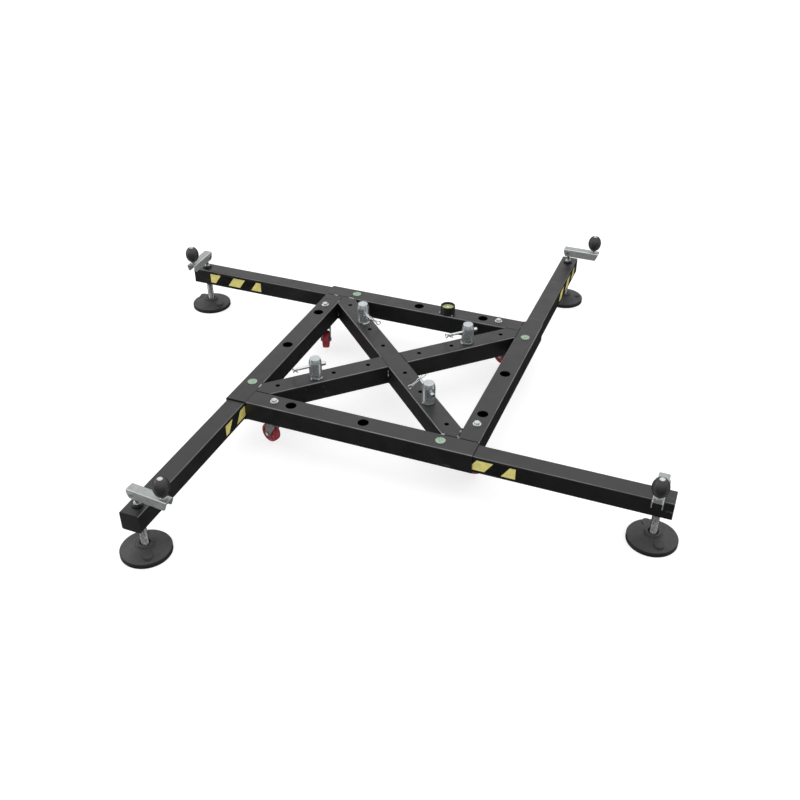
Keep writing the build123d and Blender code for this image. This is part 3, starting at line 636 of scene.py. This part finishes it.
def make_knob(arm):
    """An oval knob, cut flat at both ends, with the moulding line round its middle."""
    low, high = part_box(f"crank_knob_{arm}")
    centre = (low + high) / 2
    radius, half = (high.x - low.x) / 2, (high.z - low.z) / 2
    full = half + 3 * MM
    bore, recess = 5.4 * MM, 9.4 * MM
    profile = [(bore, -half), (bore + 0.5 * MM, -half)]
    steps = 40
    for i in range(1, steps):
        height = -half + 2 * half * i / steps
        line = 0.25 * MM * math.exp(-(height / (0.6 * MM)) ** 2)
        profile.append((radius * math.sqrt(1 - (height / full) ** 2) - line, height))
    rim = radius * math.sqrt(1 - (half / full) ** 2)
    profile += [(rim - 0.6 * MM, half), (recess, half), (recess, half - 1.9 * MM), (bore, half - 1.9 * MM)]
    shape = Shape()
    shape.lathe(profile, Matrix.Translation(centre), 72)
    shape.piece(f"oval_knob_{arm}", KNOB, f"knob_{arm}",
                replaces=[f"crank_knob_{arm}"], sharp=45)


# Castor wheels ------------------------------------------------------------------------------------
def make_wheel(arm):
    """A moulded wheel with a crowned tread, dished ribbed sides and a bearing ring in each."""
    spin = JOINTS[f"wheel_spin_{arm}"]
    place = across_joint(spin)
    low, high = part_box(f"castor_wheel_{arm}")
    radius = (high.z - low.z) / 2
    half, axle = 14 * MM, 6.1 * MM
    side = [(axle, half), (11 * MM, half), (12 * MM, half - 1 * MM), (13 * MM, half - 4 * MM),
            (26 * MM, half - 4 * MM), (28 * MM, half - 0.8 * MM), (30 * MM, half),
            (radius - 3.6 * MM, half - 0.3 * MM), (radius - 1.2 * MM, half - 2.4 * MM),
            (radius - 0.2 * MM, half - 6 * MM), (radius, 0)]
    profile = side + [(r, -z) for r, z in reversed(side[:-1])]
    shape = Shape()
    shape.lathe(softened(profile, 1.0 * MM), place, 72)
    for face in (-1, 1):
        for i in range(6):
            turn = Matrix.Rotation(math.tau * i / 6, 4, "Z")
            rib = [(12 * MM, -1.2 * MM), (27 * MM, -1.2 * MM), (27 * MM, 1.2 * MM), (12 * MM, 1.2 * MM)]
            heights = sorted((face * (half - 4.5 * MM), face * (half - 1.5 * MM)))
            shape.prism(rib, *heights, place @ turn, 0.4 * MM)
    shape.piece(f"moulded_wheel_{arm}", WHEEL, f"wheel_{arm}",
                replaces=[f"castor_wheel_{arm}"], sharp=40)


def make_castor_race(arm):
    """The swivel's rolled ball race and the axle's hexagon heads."""
    swivel = Vector(JOINTS[f"castor_swivel_{arm}"]["pos_m"])
    axle_place = across_joint(JOINTS[f"wheel_spin_{arm}"])
    crown_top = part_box(f"castor_fork_{arm}")[1].z
    shape = Shape()
    inner, outer, reach = 22 * MM, 24.5 * MM, 22.5 * MM
    ring = [(inner, crown_top - 1.5 * MM), (outer, crown_top - 1.5 * MM),
            (outer, crown_top + 0.9 * MM), (inner, crown_top + 0.9 * MM)]
    for face in (-1, 1):
        heights = sorted((face * (reach - 4 * MM), face * reach))
        shape.prism(circle(7.2 * MM, 6, 0.3), *heights, axle_place, 0.5 * MM)
    shape.lathe(softened(ring, 0.6 * MM), stood((swivel.x, swivel.y, 0)), 64)
    shape.piece(f"castor_race_{arm}", BOLT_ZINC, f"castor_{arm}", sharp=30)


# Weld beads ---------------------------------------------------------------------------------------
BEAD = 1.9 * MM
BEAD_STEP = 1.1 * MM


def square_loop(side, corner, steps=4):
    """A square with rounded corners as (across, up) points about its middle."""
    points = []
    for quarter in range(4):
        for i in range(steps + 1):
            angle = math.pi / 2 * (quarter + i / steps)
            shift_x = 1 if quarter in (0, 3) else -1
            shift_y = 1 if quarter in (0, 1) else -1
            points.append((shift_x * (side / 2 - corner) + corner * math.cos(angle),
                           shift_y * (side / 2 - corner) + corner * math.sin(angle)))
    return points


def make_welds():
    """Beads where each sleeve meets the next, round the diagonals' ends and round the posts."""
    sink = 1.1 * MM
    loop = square_loop(TUBE - 2 * sink, 7 * MM)
    sleeve_beads = Shape()
    for arm in ARMS:
        path = [turned(arm, (-INNER, -ARM_LINE + across, AXIS_Z + up)) for across, up in loop]
        sleeve_beads.tube(resampled(path, BEAD_STEP, True), BEAD, 8, True, 0.35, 3)
    sleeve_beads.piece("sleeve_weld_beads", BEAD_PAINT, "frame", sharp=60)

    corner_beads = Shape()
    wide = (TUBE / 2 - sink) * math.sqrt(2)
    top, bottom = TUBE_TOP - sink, TUBE_BOTTOM + sink
    for arm in ARMS:
        for height in (top, bottom):
            corners = [(-INNER, INNER - wide, height), (-INNER, INNER, height),
                       (-INNER + wide, INNER, height)]
            path = [turned(arm, point) for point in corners]
            corner_beads.tube(resampled(path, BEAD_STEP, False), BEAD, 8, False, 0.35, 3)
        for side in ((-INNER, INNER - wide), (-INNER + wide, INNER)):
            path = [turned(arm, (*side, height)) for height in (bottom, top)]
            corner_beads.tube(resampled(path, BEAD_STEP, False), BEAD * 1.2, 8, False, 0.3, 3)
    corner_beads.piece("corner_weld_beads", BEAD_PAINT, "frame", sharp=60)

    cross_beads = Shape()
    for side in (-1, 1):
        turn = Matrix.Rotation(math.radians(45), 4, "Z")
        path = [turn @ Vector((side * TUBE / 2, across, AXIS_Z + up)) for across, up in loop]
        cross_beads.tube(resampled(path, BEAD_STEP, True), BEAD, 8, True, 0.35, 3)
    cross_beads.piece("cross_weld_beads", BEAD_PAINT, "frame", sharp=60)

    post_beads = Shape()
    post_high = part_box("truss_posts")[1]
    post_place = post_high.x - POST_RADIUS
    ring = circle(POST_RADIUS + 0.3 * MM, 120)
    for x in (-post_place, post_place):
        for y in (-post_place, post_place):
            path = [Vector((x + a, y + b, TUBE_TOP + 0.3 * MM)) for a, b in ring]
            post_beads.tube(path, 2.0 * MM, 8, True, 0.3, 4)
    post_beads.piece("post_weld_beads", BEAD_PAINT, "frame", sharp=60)

    for arm in ARMS:
        end = leg_high.x - 0.9 * MM
        plate = square_loop(LEG - 11 * MM, 4 * MM)
        path = [turned(arm, (end, -ARM_LINE + across, AXIS_Z + up)) for across, up in plate]
        plate_bead = Shape()
        plate_bead.tube(resampled(path, BEAD_STEP, True), 0.8 * MM, 8, True, 0.1, 3)
        plate_bead.piece(f"end_plate_bead_{arm}", BEAD_PAINT, f"leg_{arm}", sharp=60)


# Hazard stickers ----------------------------------------------------------------------------------
STRIP_HEIGHT = 42 * MM
STRIPE_WIDTH = 58 * MM
STRIPE_LEAN = 29 * MM


def clipped(outline, low, high):
    """Cut an outline of (along, up) points at low and at high along its length."""
    for limit, sign in ((low, 1), (high, -1)):
        kept = []
        for start, end in zip(outline, outline[1:] + outline[:1]):
            inside_start, inside_end = sign * (start[0] - limit) >= 0, sign * (end[0] - limit) >= 0
            if inside_start:
                kept.append(start)
            if inside_start != inside_end:
                t = (limit - start[0]) / (end[0] - start[0])
                kept.append((limit, start[1] + (end[1] - start[1]) * t))
        outline = kept
        if not outline:
            return []
    return outline


def make_stickers():
    """A black film strip with slanted yellow stripes on one face of each outrigger."""
    # arm: the strip's two ends, the side of the tube it is on, where its stripes stand, and their lean
    strips = {"front": (364, 620, -1, (338, 455, 571), 1), "left": (350, 606, 1, (358, 473, 586), -1),
              "right": (796, 1074, -1, (785, 905, 1024), 1), "back": (796, 1052, 1, (789, 904, 1028), -1)}
    low, high = -STRIP_HEIGHT / 2, STRIP_HEIGHT / 2
    for arm, (start, end, side, stripes, lean) in strips.items():
        start, end = start * MM, end * MM
        place = Matrix.Translation((0, -ARM_LINE, AXIS_Z)) @ Matrix.Rotation(math.pi / 2, 4, "X")
        upright = Matrix.Rotation(math.radians(ARMS[arm]), 4, "Z") @ place
        film = Shape()
        outline = [(start, low - 2 * MM), (end, low - 2 * MM), (end, high + 2 * MM), (start, high + 2 * MM)]
        layers = sorted((-side * (LEG / 2 - 0.02 * MM), -side * (LEG / 2 + 0.15 * MM)))
        film.prism(outline, *layers, upright)
        film.piece(f"hazard_film_{arm}", FILM_BLACK, f"leg_{arm}")
        shown = Shape()
        layers = sorted((-side * (LEG / 2 + 0.1 * MM), -side * (LEG / 2 + 0.25 * MM)))
        for foot in stripes:
            foot *= MM
            stripe = [(foot, low), (foot + STRIPE_WIDTH, low),
                      (foot + STRIPE_WIDTH + lean * STRIPE_LEAN, high), (foot + lean * STRIPE_LEAN, high)]
            shown.prism(clipped(stripe, start, end), *layers, upright)
        shown.piece(f"hazard_stripes_{arm}", FILM_YELLOW, f"leg_{arm}")


# Levels ------------------------------------------------------------------------------------------
VIAL_PLACE = 343 * MM                    # along the sleeve, from the middle of the frame
VIAL_RADIUS = 15.8 * MM
VIAL_CROWN = 1.5 * MM


def make_vials():
    """Two rings, twelve ticks and a bubble on the domed lens of each small level."""
    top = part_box("vial_lenses")[1].z

    def dome(radius):
        return top - VIAL_CROWN * (radius / VIAL_RADIUS) ** 2

    for arm in ARMS:
        place = stood(turned(arm, (VIAL_PLACE, -ARM_LINE, 0)))
        marks = Shape()
        for radius in (7.6 * MM, 13.6 * MM):
            path = [place @ Vector((x, y, dome(radius))) for x, y in circle(radius, 64)]
            marks.tube(path, 0.35 * MM, 8, True)
        for i in range(12):
            along = Matrix.Rotation(math.tau * i / 12, 4, "Z")
            ends = [place @ along @ Vector((radius, 0, dome(radius)))
                    for radius in (8.8 * MM, 10.5 * MM, 12.4 * MM)]
            marks.tube(ends, 0.5 * MM, 8)
        marks.piece(f"vial_rings_{arm}", VIAL_MARK, "frame")
        bubble = Shape()
        bubble.lathe([(0.2 * MM, top - 0.02 * MM), (3.4 * MM, top - 0.05 * MM), (6.2 * MM, top - 0.16 * MM),
                      (6.9 * MM, top - 0.5 * MM), (6.2 * MM, top - 1.2 * MM)], place, 48)
        bubble.piece(f"vial_bubble_{arm}", VIAL_EYE, "frame", sharp=80)


def make_level():
    """The large level's ring, bubble and the small screws at its foot."""
    low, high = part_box("level_housing")
    centre = (low + high) / 2
    lens_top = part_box("level_lens")[1].z
    place = stood((centre.x, centre.y, 0))
    ring = Shape()
    path = [place @ Vector((x, y, lens_top + 0.05 * MM)) for x, y in circle(9 * MM, 72)]
    ring.tube(path, 0.35 * MM, 8, True)
    ring.piece("level_ring", VIAL_MARK, "frame")
    bubble = Shape()
    bubble.lathe([(0.2 * MM, lens_top + 0.45 * MM), (3 * MM, lens_top + 0.4 * MM),
                  (5.4 * MM, lens_top + 0.2 * MM), (6.4 * MM, lens_top - 0.2 * MM),
                  (5 * MM, lens_top - 0.6 * MM)], place @ Matrix.Translation((-2 * MM, 3 * MM, 0)), 48)
    bubble.piece("level_bubble", BUBBLE, "frame", sharp=80)
    screws = Shape()
    reach = (high.x - low.x) / 2 + 3.0 * MM
    for angle in (200, 320, 80):
        turn = math.radians(angle)
        spot = place @ Vector((reach * math.cos(turn), reach * math.sin(turn), TUBE_TOP))
        screws.lathe(softened([(0.4 * MM, 0), (3.0 * MM, 0), (3.0 * MM, 2.2 * MM), (2.2 * MM, 3.4 * MM),
                               (0.4 * MM, 3.6 * MM)], 0.4 * MM), Matrix.Translation(spot), 24)
    screws.piece("level_screws", BOLT_ZINC, "frame", sharp=40)


# Jack feet and truss posts ------------------------------------------------------------------------
FOOT_TURN = {"front": 300.0, "right": 290.0, "back": 160.0, "left": 40.0}    # of the bosses, degrees


def make_foot(arm):
    """A cast disc with a cone, a groove round its hub, two bosses, and a dark band round its rim: painted
    shade for the rim's upright face.
    """
    tilt = JOINTS[f"foot_tilt_{arm}"]
    jack, ball = Vector(tilt["pos_m"]), tilt["pos_m"][2]
    place = stood((jack.x, jack.y, 0))
    cup = 16.3 * MM
    inside = [(max(cup * math.sin(a), 0.4 * MM), ball - cup * math.cos(a))
              for a in (math.radians(angle) for angle in range(0, 115, 12))]
    outside = in_mm([(14.8, 29), (17.5, 41), (26.6, 41), (28, 39.6), (28, 33.6), (31, 32.4), (33, 33.3),
                     (83, 17), (84.8, 15), (84.8, 1), (84, 0), (74, 0), (74, 7), (33, 22), (33, 0.3),
                     (0.4, 0.3)])
    body = Shape()
    body.lathe(inside + softened(outside, 0.8 * MM), place, 96)
    outline = []
    boss, boss_place, hub = 16 * MM, 57 * MM, 33 * MM
    for i in range(25):
        angle = math.radians(-90 + 180 * i / 24)
        outline.append((boss_place + boss * math.cos(angle), boss * math.sin(angle)))
    outline += [(hub, 14 * MM), (hub, -14 * MM)]
    turn = math.radians(ARMS[arm] + FOOT_TURN[arm])
    for half in (0, math.pi):
        body.prism(outline, 12 * MM, 31 * MM, place @ Matrix.Rotation(turn + half, 4, "Z"), 1.6 * MM)
    body.piece(f"cast_foot_{arm}", CAST_PAINT, f"foot_{arm}",
               replaces=[f"foot_plate_{arm}"], sharp=40)
    # Painted shade: a thin near-black shell just outside the rim's upright face.
    shade_band = Shape()
    shade_band.lathe(softened(in_mm([(83.6, 1.4), (84.7, 1.6), (84.7, 14.6), (83.4, 16.5), (82.5, 16.8)]), 0.5 * MM)
               + in_mm([(82.6, 17.05), (83.8, 16.7), (84.98, 14.8), (84.98, 1.4), (83.6, 1.2)]), place, 96)
    shade_band.piece(f"foot_shade_band_{arm}", RIM_PAINTED_SHADE, f"foot_{arm}", sharp=40)


def make_posts():
    """Turned posts with a lead-in cone, a centred top and a turned groove near the foot."""
    low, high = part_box("truss_posts")
    place = high.x - POST_RADIUS
    shape = Shape()
    top, shoulder = high.z, high.z - 17 * MM
    profile = [(0.5 * MM, low.z), (POST_RADIUS, low.z), (POST_RADIUS, low.z + 6 * MM),
               (POST_RADIUS - 0.35 * MM, low.z + 6.6 * MM), (POST_RADIUS - 0.35 * MM, low.z + 7.6 * MM),
               (POST_RADIUS, low.z + 8.2 * MM), (POST_RADIUS, shoulder), (19.5 * MM, top - 0.8 * MM),
               (18.7 * MM, top), (4 * MM, top), (2.6 * MM, top - 1.6 * MM), (0.5 * MM, top - 2.6 * MM)]
    for x in (-place, place):
        for y in (-place, place):
            shape.lathe(softened(profile, 0.9 * MM), Matrix.Translation((x, y, 0)), 72)
    shape.piece("turned_posts", POST_ZINC, "frame", replaces=["truss_posts"], sharp=32)


# Jack bushes ---------------------------------------------------------------------------------------
def make_jack_rings():
    """The dark seal ring round each spindle where it leaves its bush."""
    for arm in ARMS:
        jack = Vector(JOINTS[f"crank_fold_{arm}"]["pos_m"])
        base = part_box(f"outrigger_{arm}")[1].z
        ring = Shape()
        inner, outer = 14 * MM, 19.4 * MM
        line = [(inner, base - 1.0 * MM), (outer, base - 2.5 * MM), (outer, base - 0.4 * MM),
                (outer - 1 * MM, base + 0.3 * MM), (inner, base + 0.3 * MM)]
        ring.lathe(softened(line, 0.4 * MM), stood((jack.x, jack.y, 0)), 56)
        ring.piece(f"bush_ring_{arm}", RING_BLACK, f"leg_{arm}", sharp=40)


# The scene -----------------------------------------------------------------------------------------
make_camera()
make_world()
make_floor()
area_light("overhead", (0.2, 0.3, 3.2), (0.1, 0, 0), (4.0, 4.0), 22)
area_light("left_panel", (-3.6, -1.0, 1.5), (0, 0, 0.1), (2.2, 1.6), 18)
bpy.context.scene.view_settings.view_transform = "Standard"
paint_cad_nodes()
for arm in ARMS:
    make_spindle(arm)
    make_lever(arm)
    make_knob(arm)
    make_wheel(arm)
    make_castor_race(arm)
    make_foot(arm)
make_posts()
make_welds()
make_stickers()
make_vials()
make_level()
make_jack_rings()
